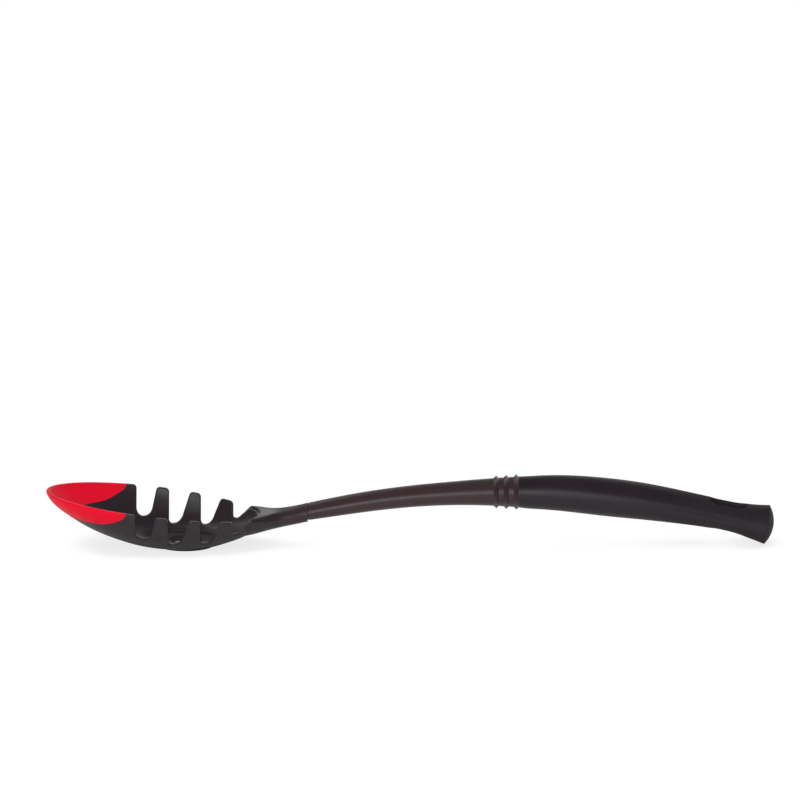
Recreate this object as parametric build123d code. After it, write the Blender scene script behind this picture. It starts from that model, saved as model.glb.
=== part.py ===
from build123d import *
import math
import os

# Pasta server: a deep black nylon bowl with three tines on each side, a red
# silicone lip round its front, and a long arched handle with a soft sleeve.
# Millimetres. X runs from the lip to the handle's end, Y across, Z up, and the
# origin is on the table under the middle of the whole length.
# A place is a distance from the tip of the lip, along X.

# Overall sizes
overall_length = 340.0
cut_overrun = 40.0

# Bowl: a stack of ellipses, each with its height, front, back and half width
bowl_length = 103.0
bowl_half_width = 33.2
bowl_form_height = 31.0
bowl_wall = 2.3
floor_height = 0.5
level_height_shares = (0.0, 0.045, 0.11, 0.19, 0.305, 0.44, 0.595, 0.75, 1.0)
level_front_shares = (0.47, 0.392, 0.322, 0.258, 0.184, 0.117, 0.053, 0.009, 0.006)
level_back_shares = (0.75, 0.815, 0.872, 0.925, 0.960, 0.978, 0.99, 0.997, 1.0)
level_width_shares = (0.40, 0.53, 0.63, 0.725, 0.82, 0.895, 0.965, 0.995, 1.0)

# Rim, tines and gaps: places and corner radii are shares of the bowl's length,
# rim heights of the bowl form's height, and gap floors of the front rim's height
rim_front_share = 0.850
rim_back_share = 0.471
rim_crown_share = 0.013
gap_front_shares = (0.405, 0.553, 0.698, 0.846)
gap_corner_shares = (0.470, 0.605, 0.743, 0.866)
tine_front_shares = (0.497, 0.650, 0.790, 0.924)
gap_floor_shares = (0.328, 0.208, 0.204, 0.345)
gap_front_radius_shares = (0.033, 0.0146, 0.0146, 0)
gap_back_radius_shares = (0.035, 0.0446, 0.0446, 0.0155)
tine_tip_radius_share = 0.0175
rim_edge_radius = 0.6

# Measuring hole in the floor, and the flat foot round it, as shares of the bowl's length
hole_place_share = 0.630
hole_radius_share = 0.0757
foot_radius_share = 0.133
foot_edge_radius = 0.4

# Silicone lip: its lower edge seen from the side, level and then swept up to the rim
lip_place_shares = (0.272, 0.354, 0.374)
lip_height_shares = (0.497, 0.632, 0.839)
lip_radius_shares = (0.175, 0.0485)
lip_inner_rise = 0.7

# Nylon tongue with holes that the lip is moulded round
tongue_skin = 0.75
tongue_reach = 5.0
tongue_root = 1.0
tongue_margin = 3.0
tongue_hole_radius = 1.2
tongue_side_hole_share = 0.27
tongue_front_hole_share = 0.4

# Stem: sections from inside the bowl's back wall towards the seam with the shaft
seam_place_share = 1.1883
seam_groove = 0.35
seam_groove_depth = 0.3
seam_drop = 0.7
seam_overlap = 1.0
stem_place_shares = (0.815, 0.894, 0.952, 1.0006, 1.0588, 1.1265)
stem_half_widths = (10.0, 15.0, 15.0, 11.2, 8.2, 7.0)
stem_waists = (13.0, 13.9, 14.0, 13.2, 13.2, 14.2)
stem_tops = (15.0, 15.3, 15.55, 15.85, 16.6, 18.1)
stem_flat_shares = (0.6, 0.72, 0.74, 0.66, 0.45, 0.2)
stem_end_flat_share = 0.02
stem_bottoms = (3.6, 4.6, 6.0, 7.2, 8.5, 9.9)

# Handle: ovals square to X from the seam to past the end, as shares of its sizes
arch_height = 24.85
grip_half_width = 11.4
grip_half_depth = 8.85
handle_place_shares = (
    0.0, 0.090, 0.197, 0.302, 0.391, 0.453, 0.499, 0.559, 0.635, 0.721, 0.807, 0.876, 0.927, 0.977, 1.012)
handle_height_shares = (
    0.636, 0.773, 0.901, 0.974, 1.0, 1.0, 0.990, 0.966, 0.901, 0.811, 0.688, 0.571, 0.467, 0.360, 0.305)
handle_width_shares = (
    0.544, 0.579, 0.614, 0.667, 0.728, 0.789, 0.851, 0.921, 0.982, 1.0, 0.991, 1.0, 1.053, 1.158, 1.228)
handle_depth_shares = (
    0.446, 0.514, 0.554, 0.610, 0.712, 0.810, 0.887, 0.955, 1.0, 0.960, 0.859, 0.791, 0.819, 0.996, 1.12)
side_hollows = (0, 0, 0, 0, 0, 0, 0, 0, 0, 0.15, 0.65, 0.75, 0.4, 0, 0)
oval_points = 24
shaft_rows = 6
grip_skin = 2.0

# Three pointed rings round the shaft, in front of the grip
ring_place_shares = (0.4035, 0.425, 0.4467)
ring_height = 1.1
ring_half_base = 1.15
ring_root = 1.0

# Tang of the head inside the shaft, with the holes that lock it there
tang_rows = 4
tang_width_share = 0.55
tang_depth_share = 0.5
tang_corner_share = 0.4
tang_hole_radius = 1.8

# Hanging slot through the flat end of the grip
slot_place_share = 0.900
slot_length = 18.2
slot_width = 10.4
slot_lining = 1.4
slot_edge_radius = 1.2

# End cap: a shallow dome on the tilted end, with an oval plug in the core
end_tilt = 9.5
dome_rise = 3.4
dome_margin = 0.4
plug_length = 3.2
plug_width_share = 0.5
plug_depth_share = 0.45
plug_clearance = 0.15

tip_x = -overall_length / 2
rim_front_height = bowl_form_height * rim_front_share
rim_back_height = bowl_form_height * rim_back_share
seam_place = bowl_length * seam_place_share
seam_x = tip_x + seam_place
handle_length = overall_length - seam_place
slot_x = seam_x + handle_length * slot_place_share
hole_x = tip_x + bowl_length * hole_place_share
hole_radius = bowl_length * hole_radius_share
foot_radius = bowl_length * foot_radius_share


def place_x(place):
    return tip_x + place


def between(low, high, share):
    return low + (high - low) * share


def side_prism(points, radii):
    outline = FilletPolyline(points, radius=radii, close=True)
    face = Plane.XZ * make_face(outline)
    return extrude(face, amount=cut_overrun, both=True)


# One ellipse of the bowl at a height: its front and back places and its half width
def bowl_level(height):
    share = (height - floor_height) / (bowl_form_height - floor_height)
    share = min(max(share, level_height_shares[0]), level_height_shares[-1])
    upper = next(i for i, level in enumerate(level_height_shares) if i and share <= level)
    low, high = level_height_shares[upper - 1], level_height_shares[upper]
    step = (share - low) / (high - low)
    front, back, width = (
        between(shares[upper - 1], shares[upper], step)
        for shares in (level_front_shares, level_back_shares, level_width_shares))
    return bowl_length * front, bowl_length * back, bowl_half_width * width


# The bowl as one solid, taller than the rim, with its sides moved in square to the wall
def bowl_form(inset):
    heights = [between(floor_height, bowl_form_height, share) for share in level_height_shares]
    heights = [floor_height + inset] + [h for h in heights if h > floor_height + 2 * inset]
    sections = []
    for height in heights:
        front, back, half_width = bowl_level(height)
        if inset:
            under, over = bowl_level(height - bowl_wall / 2), bowl_level(height + bowl_wall / 2)
            moves = [inset * math.hypot(1, (b - a) / bowl_wall) for a, b in zip(under, over)]
            front, back, half_width = front + moves[0], back - moves[1], half_width - moves[2]
        section = Ellipse((back - front) / 2, half_width, rotation=180)
        sections.append(Pos(place_x((front + back) / 2), 0, height) * section)
    return loft(sections)


# The rim falls from the lip to the shoulders and stands a little over a straight line midway
def rim_height(place):
    step = place / (bowl_length * tine_front_shares[-1])
    crown = 4 * bowl_form_height * rim_crown_share * max(step, 0) * (1 - step)
    return between(rim_front_height, rim_back_height, step) + crown


# The outline of one gap from its front edge to the next tine, with its corner radii
def gap_outline(gap):
    front = bowl_length * gap_front_shares[gap]
    corner = bowl_length * gap_corner_shares[gap]
    next_tine = bowl_length * tine_front_shares[gap]
    floor = rim_front_height * gap_floor_shares[gap]
    points = [
        (place_x(front), rim_height(front)),
        (place_x(front), floor),
        (place_x(corner), floor),
        (place_x(next_tine), rim_height(next_tine)),
    ]
    shares = (
        tine_tip_radius_share, gap_front_radius_shares[gap], gap_back_radius_shares[gap],
        tine_tip_radius_share)
    return points, [bowl_length * share for share in shares]


# All that lies over the rim and in the gaps, seen from the side
def over_comb():
    top = bowl_form_height + cut_overrun
    end = bowl_length + cut_overrun
    points = [(place_x(-cut_overrun), rim_height(-cut_overrun))]
    radii = [0]
    for gap in range(len(gap_front_shares)):
        gap_points, gap_radii = gap_outline(gap)
        points += gap_points
        radii += gap_radii
    points += [(place_x(end), rim_back_height), (place_x(end), top), (place_x(-cut_overrun), top)]
    radii += [0, 0, 0]
    return side_prism(points, radii)


# The last gap, carried up along its back flank, which also shapes the shoulders
def last_gap():
    points, radii = gap_outline(len(gap_front_shares) - 1)
    (front_x, front_z), (corner_x, corner_z), (top_x, top_z) = points[0], points[2], points[3]
    rise = (top_z - corner_z) / (top_x - corner_x)
    points[0] = (front_x, front_z + cut_overrun)
    points[3] = (top_x + cut_overrun / rise, top_z + cut_overrun)
    radii[0] = radii[3] = 0
    return side_prism(points, radii)


# All that lies over the lip's lower edge, moved up by the rise
def over_lip_edge(rise):
    top = bowl_form_height + cut_overrun
    places = [place_x(bowl_length * share) for share in lip_place_shares]
    heights = [rise + bowl_form_height * share for share in lip_height_shares]
    lean = (places[2] - places[1]) / (heights[2] - heights[1])
    points = [
        (place_x(-cut_overrun), heights[0]),
        (places[0], heights[0]),
        (places[1], heights[1]),
        (places[1] + lean * (top - heights[1]), top),
        (place_x(-cut_overrun), top),
    ]
    radii = [0] + [bowl_length * share for share in lip_radius_shares] + [0, 0]
    return side_prism(points, radii)


# The silicone's share of the bowl: its edge is a little higher on the inside of the wall
def lip_share(bowl, middle):
    step = over_lip_edge(0) - over_lip_edge(lip_inner_rise)
    return (bowl & over_lip_edge(0)) - (middle & step)


def over_tongue():
    top = bowl_form_height + cut_overrun
    points = [
        (place_x(-cut_overrun), rim_height(-cut_overrun) - tongue_margin),
        (place_x(bowl_length), rim_height(bowl_length) - tongue_margin),
        (place_x(bowl_length), top),
        (place_x(-cut_overrun), top),
    ]
    return side_prism(points, [0, 0, 0, 0])


# A thin strip in the middle of the wall, with holes that the silicone fills
def tongue():
    strip = bowl_form(tongue_skin) - bowl_form(bowl_wall - tongue_skin)
    strip = strip & (over_lip_edge(-tongue_root) - over_lip_edge(tongue_reach))
    strip = strip - over_tongue()
    hole_height = bowl_form_height * lip_height_shares[0] + tongue_reach / 2
    side_x = place_x(bowl_length * tongue_side_hole_share)
    side_hole = Cylinder(tongue_hole_radius, 2 * cut_overrun, rotation=(90, 0, 0))
    strip = strip - Pos(side_x, 0, hole_height + tongue_hole_radius) * side_hole
    front_hole = Cylinder(tongue_hole_radius, 2 * cut_overrun, rotation=(0, 90, 0))
    reach = bowl_half_width * tongue_front_hole_share
    for side_y in (-reach, 0, reach):
        strip = strip - Pos(place_x(0), side_y, hole_height) * front_hole
    return strip


# A flat top with round shoulders, over half an ellipse under the widest line
def stem_section(x, half_width, waist, top, bottom, flat_share):
    flat = half_width * flat_share
    rise = top - waist
    plane = Plane(origin=(x, 0, waist), x_dir=(0, 1, 0), z_dir=(1, 0, 0))
    left = EllipticalCenterArc((flat, 0), half_width - flat, rise, 0, arc_size=90)
    level = Line((flat, rise), (-flat, rise))
    right = EllipticalCenterArc((-flat, 0), half_width - flat, rise, 90, arc_size=90)
    under = EllipticalCenterArc((0, 0), half_width, waist - bottom, 180, arc_size=180)
    return plane * make_face([left, level, right, under])


def stem_form():
    sections = []
    table = zip(stem_place_shares, stem_half_widths, stem_waists, stem_tops, stem_bottoms, stem_flat_shares)
    for place_share, *sizes in table:
        sections.append(stem_section(place_x(bowl_length * place_share), *sizes))
    x, height, half_width, half_depth = handle_row(0)
    top, bottom = height + half_depth, height - half_depth - seam_drop
    end = stem_section(
        x - seam_groove, half_width + seam_drop / 2, (top + bottom) / 2, top, bottom, stem_end_flat_share)
    return loft(sections + [end])


# The bottom of the groove at the seam, where stem and shaft meet
def seam_neck():
    x, height, half_width, half_depth = handle_row(0)
    plane = Plane(origin=(x, 0, height), x_dir=(0, 1, 0), z_dir=(1, 0, 0))
    section = Ellipse(half_width - seam_groove_depth, half_depth - seam_groove_depth)
    return plane * extrude(section, amount=-seam_overlap)


# One oval of the handle: its place, centre height, half width and half depth
def handle_row(row):
    return (
        seam_x + handle_length * handle_place_shares[row],
        arch_height * handle_height_shares[row],
        grip_half_width * handle_width_shares[row],
        grip_half_depth * handle_depth_shares[row],
    )


def handle_at(place_share):
    row = max(i for i, share in enumerate(handle_place_shares) if share <= place_share)
    low, high = handle_row(row), handle_row(row + 1)
    step = handle_place_shares[row + 1] - handle_place_shares[row]
    share = (place_share - handle_place_shares[row]) / step
    return [between(a, b, share) for a, b in zip(low, high)]


# A smooth oval whose two side points move in by the hollow, starting from the top
def oval(x, height, half_width, half_depth, hollow):
    points = []
    for step in range(oval_points):
        turn = math.tau * step / oval_points
        side = half_width * math.sin(turn)
        if 4 * step % oval_points == 0:
            side = side - math.copysign(hollow, side) * abs(math.sin(turn))
        points.append((side, half_depth * math.cos(turn)))
    plane = Plane(origin=(x, 0, height), x_dir=(0, 1, 0), z_dir=(1, 0, 0))
    return plane * make_face(Spline(points, periodic=True))


def handle_form(first, last, inset):
    sections = []
    for row in range(first, last + 1):
        x, height, half_width, half_depth = handle_row(row)
        sections.append(oval(x, height, half_width - inset, half_depth - inset, side_hollows[row]))
    return loft(sections)


# A pointed ring, rooted inside the shaft, each ellipse drawn from its top
def ring(place_share):
    x, height, half_width, half_depth = handle_at(place_share)
    half_root = ring_half_base * (ring_height + ring_root) / ring_height
    plane = Plane(origin=(x, 0, height), x_dir=(0, 1, 0), z_dir=(1, 0, 0))
    root = plane * Ellipse(half_depth - ring_root, half_width - ring_root, rotation=90)
    peak = plane * Ellipse(half_depth + ring_height, half_width + ring_height, rotation=90)
    return loft([Pos(-half_root, 0, 0) * root, peak, Pos(half_root, 0, 0) * root], ruled=True)


def tang_form():
    sections = []
    for row in range(tang_rows):
        x, height, half_width, half_depth = handle_row(row)
        if row == 0:
            x = x - seam_groove
        width = 2 * half_width * tang_width_share
        depth = 2 * half_depth * tang_depth_share
        plane = Plane(origin=(x, 0, height), x_dir=(0, 1, 0), z_dir=(1, 0, 0))
        sections.append(plane * RectangleRounded(width, depth, depth * tang_corner_share))
    form = loft(sections)
    for row in range(1, tang_rows - 1):
        x, height, half_width, half_depth = handle_row(row)
        form = form - Pos(x, 0, height) * Cylinder(tang_hole_radius, 2 * half_depth)
    return form


def slot_prism(growth):
    face = Pos(slot_x, 0, 0) * SlotOverall(slot_length + 2 * growth, slot_width + 2 * growth)
    return extrude(face, amount=cut_overrun)


# The edges of the slot on the outside of the sleeve, without its upright lines
def slot_edges(piece):
    found = []
    for edge in piece.edges():
        middle = edge.center()
        near = abs(middle.X - slot_x) < slot_length / 2 and abs(middle.Y) < (slot_length + slot_width) / 4
        level = abs((edge @ 0).Z - (edge @ 1).Z) < slot_width / 2
        if near and level:
            found.append(edge)
    return found


# The tilted plane across the end: its X axis points up the end, its Z axis outwards
def end_plane():
    row = len(handle_place_shares) - 2
    x, height, half_width, half_depth = handle_row(row)
    tilt = math.radians(end_tilt)
    foot_x = x + half_depth * math.sin(tilt)
    up = (math.sin(tilt), 0, math.cos(tilt))
    out = (math.cos(tilt), 0, -math.sin(tilt))
    return Plane(origin=(foot_x, 0, height), x_dir=up, z_dir=out)


def past_end():
    return extrude(end_plane() * Rectangle(4 * cut_overrun, 4 * cut_overrun), amount=cut_overrun)


# A flat slice of a sphere, stretched sideways to the width of the handle's end
def dome():
    x, height, half_width, half_depth = handle_row(len(handle_place_shares) - 2)
    base_radius = half_depth + dome_margin
    ball_radius = (base_radius ** 2 + dome_rise ** 2) / (2 * dome_rise)
    ball = Pos(0, 0, dome_rise - ball_radius) * Sphere(ball_radius)
    slab = Pos(0, 0, ball_radius) * Box(4 * ball_radius, 4 * ball_radius, 2 * ball_radius)
    slice_of_ball = ball & slab
    stretch = (half_width + dome_margin) / base_radius
    return end_plane() * scale(slice_of_ball, by=(1, stretch, 1))


def plug(growth):
    x, height, half_width, half_depth = handle_row(len(handle_place_shares) - 2)
    section = Ellipse(half_depth * plug_depth_share + growth, half_width * plug_width_share + growth)
    return end_plane() * extrude(section, amount=-(plug_length + growth))


def build_head_and_lip():
    form = bowl_form(0)
    cavity = bowl_form(bowl_wall)
    middle = bowl_form(bowl_wall / 2)
    key = tongue()
    foot = Cylinder(foot_radius, floor_height + bowl_wall, align=(Align.CENTER, Align.CENTER, Align.MIN))
    foot = Pos(hole_x, 0, 0) * fillet(foot.edges().group_by(Axis.Z)[0], foot_edge_radius)
    hole = Pos(hole_x, 0, 0) * Cylinder(hole_radius, cut_overrun)
    bowl = form - over_comb() - cavity
    rim_edges = [
        edge for edge in bowl.edges()
        if edge.center().Z > floor_height + 2 * bowl_wall and edge.length > rim_edge_radius]
    bowl = fillet(rim_edges, rim_edge_radius)
    stem = stem_form() + seam_neck() - last_gap() - middle
    body = bowl + stem + (foot - middle) - hole
    whole_lip = lip_share(bowl, middle)
    head = (body - whole_lip) + key + tang_form()
    return head, whole_lip - key


def build_handle():
    first = shaft_rows - 1
    last = len(handle_place_shares) - 1
    tang = tang_form()
    shaft = handle_form(0, first, 0)
    inner = handle_form(first, last, grip_skin) - past_end()
    core = shaft + inner
    for place_share in ring_place_shares:
        core = core + ring(place_share)
    core = core - tang - slot_prism(slot_lining)
    sleeve = handle_form(first, last, 0)
    skin = sleeve - past_end() - slot_prism(0)
    grip = fillet(slot_edges(skin), slot_edge_radius) - core
    cap = (dome() & sleeve) + plug(0)
    core = core - plug(plug_clearance)
    return core, grip, cap


os.makedirs("parts", exist_ok=True)
head, lip = build_head_and_lip()
handle_core, grip_sleeve, end_cap = build_handle()
pieces = {
    "head": head,
    "silicone_lip": lip,
    "handle_core": handle_core,
    "grip_sleeve": grip_sleeve,
    "end_cap": end_cap,
}
for name, piece in pieces.items():
    export_step(piece, "parts/" + name + ".step")
    box = piece.bounding_box()
    print(name, "solids", len(piece.solids()), "volume", round(piece.volume), "valid", piece.is_valid)
    print("  from", [round(v, 2) for v in box.min], "to", [round(v, 2) for v in box.max])
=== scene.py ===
import math
import bpy
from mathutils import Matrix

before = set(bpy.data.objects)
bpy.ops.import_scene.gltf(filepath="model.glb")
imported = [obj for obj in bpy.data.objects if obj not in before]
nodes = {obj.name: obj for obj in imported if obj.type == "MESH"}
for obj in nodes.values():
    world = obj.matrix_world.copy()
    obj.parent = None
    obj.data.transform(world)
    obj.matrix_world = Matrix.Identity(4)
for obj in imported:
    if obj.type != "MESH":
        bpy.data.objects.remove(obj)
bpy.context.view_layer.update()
bpy.ops.object.select_all(action="DESELECT")
scene = bpy.context.scene
scene.view_settings.view_transform = "Standard"
print("frame loaded:", ", ".join(sorted(nodes)))


# sRGB hex to linear
def fromHex(text):
    parts = [int(text[i:i + 2], 16) / 255 for i in (1, 3, 5)]
    return [p / 12.92 if p <= 0.04045 else ((p + 0.055) / 1.055) ** 2.4 for p in parts] + [1]


# noise scale for features of this size, on Object coordinates in metres
def scaleFor(millimetres):
    return 1000 / millimetres


# settings and links go by socket name or number, and other names are the node's own properties
def addNode(tree, kind, settings=None, links=None):
    node = tree.nodes.new(kind)
    for name, value in (settings or {}).items():
        if isinstance(name, int) or name in node.inputs:
            node.inputs[name].default_value = value
        else:
            setattr(node, name, value)
    for socket, source in (links or {}).items():
        tree.links.new(source, node.inputs[socket])
    return node


def startMaterial(name):
    material = bpy.data.materials.new(name)
    material.use_nodes = True
    tree = material.node_tree
    tree.nodes.clear()
    where = addNode(tree, "ShaderNodeTexCoord")
    return material, tree, where.outputs["Object"]


# camera: long lens from far away, so that near and far tines line up as in the photograph
camera = {
    "distance": 10.0,
    "elevation": 13.2,
    "lookAt": (-0.00467, 0.0, 0.06915),
    "widthInView": 0.3736,
    "roll": -0.172,
    "sensorWidth": 36.0,
    "clipEnd": 40.0,
}


def placeCamera(values):
    rise = math.radians(values["elevation"])
    x, y, z = values["lookAt"]
    far = values["distance"]
    bpy.ops.object.camera_add(location=(x, y - far * math.cos(rise), z + far * math.sin(rise)))
    cam = bpy.context.object
    cam.name = "camera"
    cam.rotation_mode = "ZYX"
    cam.rotation_euler = (math.pi / 2 - rise, 0, math.radians(values["roll"]))
    cam.data.sensor_width = values["sensorWidth"]
    cam.data.lens = values["sensorWidth"] * far / values["widthInView"]
    cam.data.clip_end = values["clipEnd"]
    scene.camera = cam


placeCamera(camera)
print("camera placed")

# stage: white paper floor, a room that is lighter low down than overhead, and for mirror
# rays a dim room with a white wall low behind on the right. A weak lamp hangs above, a large
# soft box stands in front, to the left of the camera, and a weaker one behind on the left
# draws the far side
stage = {
    "floorSize": 12.0,
    "floorWhite": "#f4f4f4",
    "floorShade": 0.14,
    "floorGlow": 0.92,
    "contactReach": 0.016,
    "contactSamples": 16,
    "contactRange": (0.30, 0.80),        # share of open sky where the glow is dimmest and full
    # painted contact shadow: share of the floor glow left close under the object
    "paintedContactShade": 0.86,
    # painted shade on the paper in the measuring hole, round this place and out to these reaches
    "footPlace": (-0.1051, 0.0, 0.0),
    "footReach": (0.008, 0.014),
    "paintedHoleShade": 0.25,
    "roomLight": (0.80, 0.30),           # at the horizon and overhead
    "roomMirrored": 0.08,
    "wallMirrored": 1.0,
    "wall": {"Z": (0.75, 0.05), "Y": (0.0, 0.5), "X": (-0.32, 0.08)},    # where it starts and is full
    "topLampPlace": (0.0, 0.1, 1.1),
    "topLampSize": (1.5, 1.0),
    "topLampPower": 2.0,
    "boxDistance": 1.3,
    "boxSize": (0.90, 0.80),
    "boxes": {"frontBox": (-15.0, 26.0, 7.3), "backBox": (-145.0, 32.0, 1.8)},    # turn, rise, power
}


def makeFloor(values):
    bpy.ops.mesh.primitive_plane_add(size=values["floorSize"])
    floor = bpy.context.object
    floor.name = "floor"
    material, tree, where = startMaterial("whitePaper")
    path = addNode(tree, "ShaderNodeLightPath")
    # straight from the camera the paper is burnt out to white and keeps only a faint shadow
    seen = addNode(tree, "ShaderNodeMath", {"operation": "MAXIMUM"},
                   {0: path.outputs["Is Camera Ray"], 1: path.outputs["Is Transmission Ray"]})
    paper = addNode(tree, "ShaderNodeBsdfDiffuse", {"Color": fromHex(values["floorWhite"])})
    faint = addNode(tree, "ShaderNodeBsdfDiffuse", {"Color": [values["floorShade"]] * 3 + [1]})
    # the glow dims where something stands close over the paper, a painted contact shadow
    sky = addNode(tree, "ShaderNodeAmbientOcclusion",
                  {"samples": values["contactSamples"], "Distance": values["contactReach"]})
    nearest, farthest = values["contactRange"]
    contact = addNode(tree, "ShaderNodeMapRange",
                      {"interpolation_type": "SMOOTHSTEP", "From Min": nearest, "From Max": farthest,
                       "To Min": values["floorGlow"] * values["paintedContactShade"],
                       "To Max": values["floorGlow"]},
                      {"Value": sky.outputs["AO"]})
    # painted shade: the glow is dimmed round a set place under the foot, as little light comes down through
    # the bowl to the paper that shows in the measuring hole
    fromFoot = addNode(tree, "ShaderNodeVectorMath", {"operation": "DISTANCE", 1: values["footPlace"]},
                       {0: where})
    inside, outside = values["footReach"]
    paintedShadeUnderFoot = addNode(tree, "ShaderNodeMapRange",
                        {"From Min": inside, "From Max": outside, "To Min": values["paintedHoleShade"]},
                        {"Value": fromFoot.outputs["Value"]})
    strength = addNode(tree, "ShaderNodeMath", {"operation": "MULTIPLY"},
                       {0: contact.outputs[0], 1: paintedShadeUnderFoot.outputs[0]})
    glow = addNode(tree, "ShaderNodeEmission", {"Color": (1, 1, 1, 1)}, {"Strength": strength.outputs[0]})
    burnt = addNode(tree, "ShaderNodeAddShader", None, {0: faint.outputs[0], 1: glow.outputs[0]})
    both = addNode(tree, "ShaderNodeMixShader", None,
                   {0: seen.outputs[0], 1: paper.outputs[0], 2: burnt.outputs[0]})
    addNode(tree, "ShaderNodeOutputMaterial", None, {"Surface": both.outputs[0]})
    floor.data.materials.append(material)


def makeRoom(values):
    world = bpy.data.worlds.new("dimRoom")
    scene.world = world
    world.use_nodes = True
    tree = world.node_tree
    tree.nodes.clear()
    path = addNode(tree, "ShaderNodeLightPath")
    where = addNode(tree, "ShaderNodeTexCoord")
    axes = addNode(tree, "ShaderNodeSeparateXYZ", None, {0: where.outputs["Generated"]})
    # the white wall fades out upwards, forwards and to the left
    wall = None
    for axis, (start, full) in values["wall"].items():
        part = addNode(tree, "ShaderNodeMapRange",
                       {"interpolation_type": "SMOOTHSTEP", "From Min": start, "From Max": full},
                       {"Value": axes.outputs[axis]})
        if wall:
            part = addNode(tree, "ShaderNodeMath", {"operation": "MULTIPLY"},
                           {0: wall.outputs[0], 1: part.outputs[0]})
        wall = part
    mirrored = addNode(tree, "ShaderNodeMapRange",
                       {"To Min": values["roomMirrored"], "To Max": values["wallMirrored"]},
                       {"Value": wall.outputs[0]})
    horizon, overhead = values["roomLight"]
    soft = addNode(tree, "ShaderNodeMapRange", {"To Min": horizon, "To Max": overhead},
                   {"Value": axes.outputs["Z"]})
    lit = addNode(tree, "ShaderNodeMix", {"data_type": "FLOAT"},
                  {0: path.outputs["Is Glossy Ray"], 2: soft.outputs[0], 3: mirrored.outputs[0]})
    # the camera sees plain white behind the floor
    seen = addNode(tree, "ShaderNodeMath", {"operation": "MAXIMUM"},
                   {0: path.outputs["Is Camera Ray"], 1: path.outputs["Is Transmission Ray"]})
    level = addNode(tree, "ShaderNodeMix", {"data_type": "FLOAT", 3: 1.0},
                    {0: seen.outputs[0], 2: lit.outputs[0]})
    back = addNode(tree, "ShaderNodeBackground", {"Color": (1, 1, 1, 1)}, {"Strength": level.outputs[0]})
    addNode(tree, "ShaderNodeOutputWorld", None, {"Surface": back.outputs[0]})


def makeLamps(values):
    bpy.ops.object.light_add(type="AREA", location=values["topLampPlace"])
    top = bpy.context.object
    top.name = "topLamp"
    top.data.shape = "RECTANGLE"
    top.data.size, top.data.size_y = values["topLampSize"]
    top.data.energy = values["topLampPower"]
    top.visible_glossy = False
    far = values["boxDistance"]
    for name, (azimuth, elevation, power) in values["boxes"].items():
        turn = math.radians(azimuth)
        rise = math.radians(elevation)
        out = far * math.cos(rise)
        place = (out * math.sin(turn), -out * math.cos(turn), far * math.sin(rise))
        bpy.ops.object.light_add(type="AREA", location=place, rotation=(math.pi / 2 - rise, 0, turn))
        box = bpy.context.object
        box.name = name
        box.data.shape = "RECTANGLE"
        box.data.size, box.data.size_y = values["boxSize"]
        box.data.energy = power


makeFloor(stage)
makeRoom(stage)
makeLamps(stage)
print("stage and lights made")


# colour and roughness drift together in soft patches of one noise
def addPatches(tree, vector, values):
    patches = addNode(tree, "ShaderNodeTexNoise",
                      {"Scale": scaleFor(values["patchSize"]), "Detail": values["patchDetail"],
                       "Roughness": values["patchBreakup"]},
                      {"Vector": vector})
    first, second = values["colours"]
    colour = addNode(tree, "ShaderNodeMix",
                     {"data_type": "RGBA", 6: fromHex(first), 7: fromHex(second)},
                     {0: patches.outputs[0]})
    low, high = values["patchRange"]
    smooth, rough = values["roughness"]
    satin = addNode(tree, "ShaderNodeMapRange",
                    {"From Min": low, "From Max": high, "To Min": smooth, "To Max": rough},
                    {"Value": patches.outputs[0]})
    return colour.outputs[2], satin.outputs[0]


# real mould grain is under 0.1 mm, too fine to show in the picture, so each grain here is
# drawn about 1 mm across
def addSurface(tree, where, values, colour, roughness, soak=None):
    grain = addNode(tree, "ShaderNodeTexNoise",
                    {"Scale": scaleFor(values["grainSize"]), "Detail": values["grainDetail"]},
                    {"Vector": where})
    bump = addNode(tree, "ShaderNodeBump",
                   {"Strength": values["grainStrength"], "Distance": values["grainDepth"] / 1000},
                   {"Height": grain.outputs[0]})
    shader = addNode(tree, "ShaderNodeBsdfPrincipled",
                     {"IOR": values["ior"], "Specular IOR Level": values["gloss"], **(soak or {})},
                     {"Base Color": colour, "Roughness": roughness, "Normal": bump.outputs[0]})
    addNode(tree, "ShaderNodeOutputMaterial", None, {"Surface": shader.outputs[0]})


# black nylon with short glass fibre, injection moulded in a spark-eroded tool:
# satin, with a fine even grain and faint cloudy flow of the fibres. The stem is browner,
# the hollow of the neck is polished, and the seam and the floor round the hole are duller
head = {
    "colours": ("#2a2328", "#30282d"),
    "patchSize": 14,
    "patchDetail": 4,
    "patchBreakup": 0.6,
    "patchRange": (0.3, 0.7),
    "roughness": (0.30, 0.39),
    "grainSize": 0.8,
    "grainDetail": 2,
    "grainDepth": 0.012,
    "grainStrength": 0.5,
    "gloss": 0.36,
    "ior": 1.53,
    "stemBrown": "#36272b",
    "stemRange": (-0.067, -0.055),
    # place, reach of the full change and of its end, change of roughness
    "spots": {
        "neck": ((-0.070, 0.0, 0.018), (0.004, 0.011), -0.13),
        "seam": ((-0.052, 0.0, 0.020), (0.008, 0.014), 0.14),
        "hole": ((-0.102, 0.0, 0.003), (0.012, 0.018), 0.30),
    },
}


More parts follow.
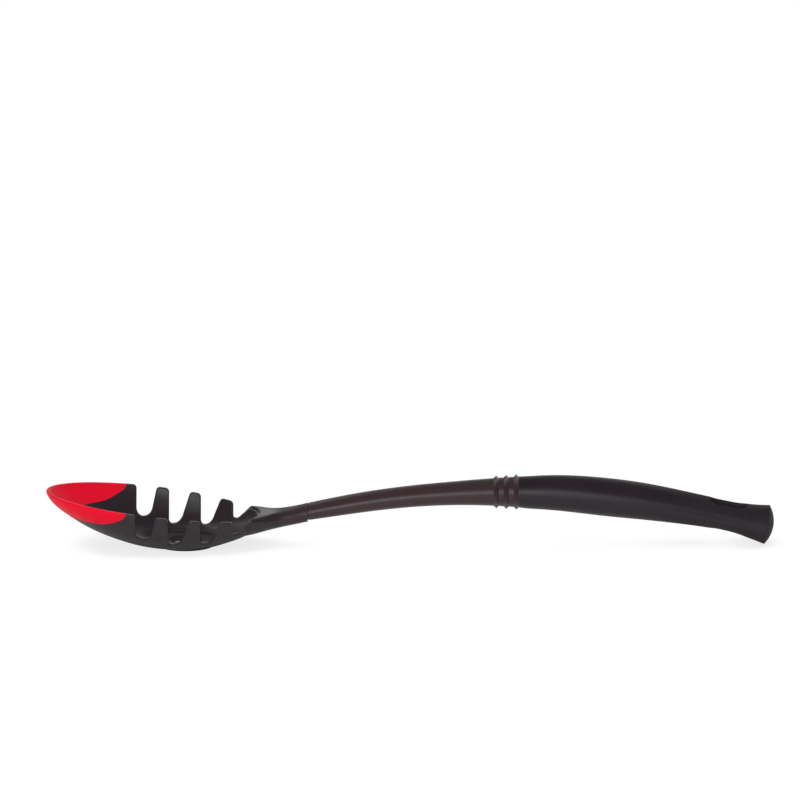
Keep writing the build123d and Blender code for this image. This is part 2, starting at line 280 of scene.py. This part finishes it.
def nylonMaterial(values):
    material, tree, where = startMaterial("glassFilledNylonMoulded")
    black, satin = addPatches(tree, where, values)
    axes = addNode(tree, "ShaderNodeSeparateXYZ", None, {0: where})
    start, full = values["stemRange"]
    stem = addNode(tree, "ShaderNodeMapRange",
                   {"interpolation_type": "SMOOTHSTEP", "From Min": start, "From Max": full},
                   {"Value": axes.outputs["X"]})
    colour = addNode(tree, "ShaderNodeMix", {"data_type": "RGBA", 7: fromHex(values["stemBrown"])},
                     {0: stem.outputs[0], 6: black})
    for place, (full, none), change in values["spots"].values():
        away = addNode(tree, "ShaderNodeVectorMath", {"operation": "DISTANCE", 1: place}, {0: where})
        spot = addNode(tree, "ShaderNodeMapRange",
                       {"interpolation_type": "SMOOTHSTEP", "From Min": full, "From Max": none,
                        "To Min": change, "To Max": 0.0},
                       {"Value": away.outputs["Value"]})
        satin = addNode(tree, "ShaderNodeMath", {"operation": "ADD"},
                        {0: satin, 1: spot.outputs[0]}).outputs[0]
    addSurface(tree, where, values, colour.outputs[2], satin)
    return material


# red silicone rubber, compression moulded over the nylon: solid colour, satin skin,
# a little light soaks in at thin edges, and dust dulls it in soft patches
lip = {
    "colours": ("#f40a2c", "#eb082d"),
    "patchSize": 11,
    "patchDetail": 3,
    "patchBreakup": 0.5,
    "patchRange": (0.3, 0.7),
    "roughness": (0.36, 0.50),
    "grainSize": 1.2,
    "grainDetail": 3,
    "grainDepth": 0.015,
    "grainStrength": 0.4,
    "gloss": 0.15,
    "ior": 1.41,
    "soak": 0.08,
    "soakRadius": (1.0, 0.15, 0.1),
    "soakDepth": 1.0,
}


def siliconeMaterial(values):
    material, tree, where = startMaterial("siliconeRubberMoulded")
    colour, satin = addPatches(tree, where, values)
    soak = {"Subsurface Weight": values["soak"], "Subsurface Radius": values["soakRadius"],
            "Subsurface Scale": values["soakDepth"] / 1000}
    addSurface(tree, where, values, colour, satin, soak)
    return material


# polypropylene, injection moulded in a polished tool: brownish black,
# smoother than the head, with faint flow lines along the shaft
shaft = {
    "colours": ("#3e2d31", "#39292d"),
    "patchSize": 5,
    "patchStretch": 0.12,
    "patchDetail": 4,
    "patchBreakup": 0.5,
    "patchRange": (0.3, 0.7),
    "roughness": (0.28, 0.37),
    "grainSize": 1.0,
    "grainDetail": 2,
    "grainDepth": 0.008,
    "grainStrength": 0.4,
    "gloss": 0.36,
    "ior": 1.49,
}


def shaftMaterial(values):
    material, tree, where = startMaterial("polypropyleneMoulded")
    along = addNode(tree, "ShaderNodeMapping", {"Scale": (values["patchStretch"], 1, 1)}, {"Vector": where})
    colour, satin = addPatches(tree, along.outputs[0], values)
    addSurface(tree, where, values, colour, satin)
    return material


# polypropylene plug, injection moulded in a blasted tool: darker and duller than the shaft,
# with faint blotches of flow
cap = {
    "colours": ("#2f2629", "#2a2225"),
    "patchSize": 3,
    "patchDetail": 3,
    "patchBreakup": 0.5,
    "patchRange": (0.3, 0.7),
    "roughness": (0.50, 0.60),
    "grainSize": 0.8,
    "grainDetail": 2,
    "grainDepth": 0.015,
    "grainStrength": 0.5,
    "gloss": 0.12,
    "ior": 1.49,
}


def capMaterial(values):
    material, tree, where = startMaterial("polypropyleneBlasted")
    colour, satin = addPatches(tree, where, values)
    addSurface(tree, where, values, colour, satin)
    return material


# thermoplastic elastomer, moulded over the core: a soft cool black that takes a dull
# polish where the hand rubs it, holds fine dust elsewhere and stays matt round the slot
grip = {
    "colours": ("#241b22", "#2b232a"),
    "patchSize": 22,
    "patchDetail": 3,
    "patchBreakup": 0.5,
    "patchRange": (0.3, 0.7),
    "roughness": (0.36, 0.48),
    "grainSize": 0.9,
    "grainDetail": 3,
    "grainDepth": 0.02,
    "grainStrength": 0.4,
    "gloss": 0.35,
    "ior": 1.5,
    "mattRange": (0.100, 0.130),
    "mattness": 0.22,
}


def softGripMaterial(values):
    material, tree, where = startMaterial("thermoplasticElastomerMoulded")
    colour, satin = addPatches(tree, where, values)
    axes = addNode(tree, "ShaderNodeSeparateXYZ", None, {0: where})
    start, full = values["mattRange"]
    matt = addNode(tree, "ShaderNodeMapRange",
                   {"interpolation_type": "SMOOTHSTEP", "From Min": start, "From Max": full,
                    "To Max": values["mattness"]},
                   {"Value": axes.outputs["X"]})
    duller = addNode(tree, "ShaderNodeMath", {"operation": "ADD"}, {0: satin, 1: matt.outputs[0]})
    addSurface(tree, where, values, colour, duller.outputs[0])
    return material


def dress(node, material):
    piece = nodes[node]
    piece.data.materials.clear()
    piece.data.materials.append(material)
    print("dressed", node)


dress("head", nylonMaterial(head))
dress("silicone_lip", siliconeMaterial(lip))
dress("handle_core", shaftMaterial(shaft))
dress("end_cap", capMaterial(cap))
dress("grip_sleeve", softGripMaterial(grip))

print("scene ready")
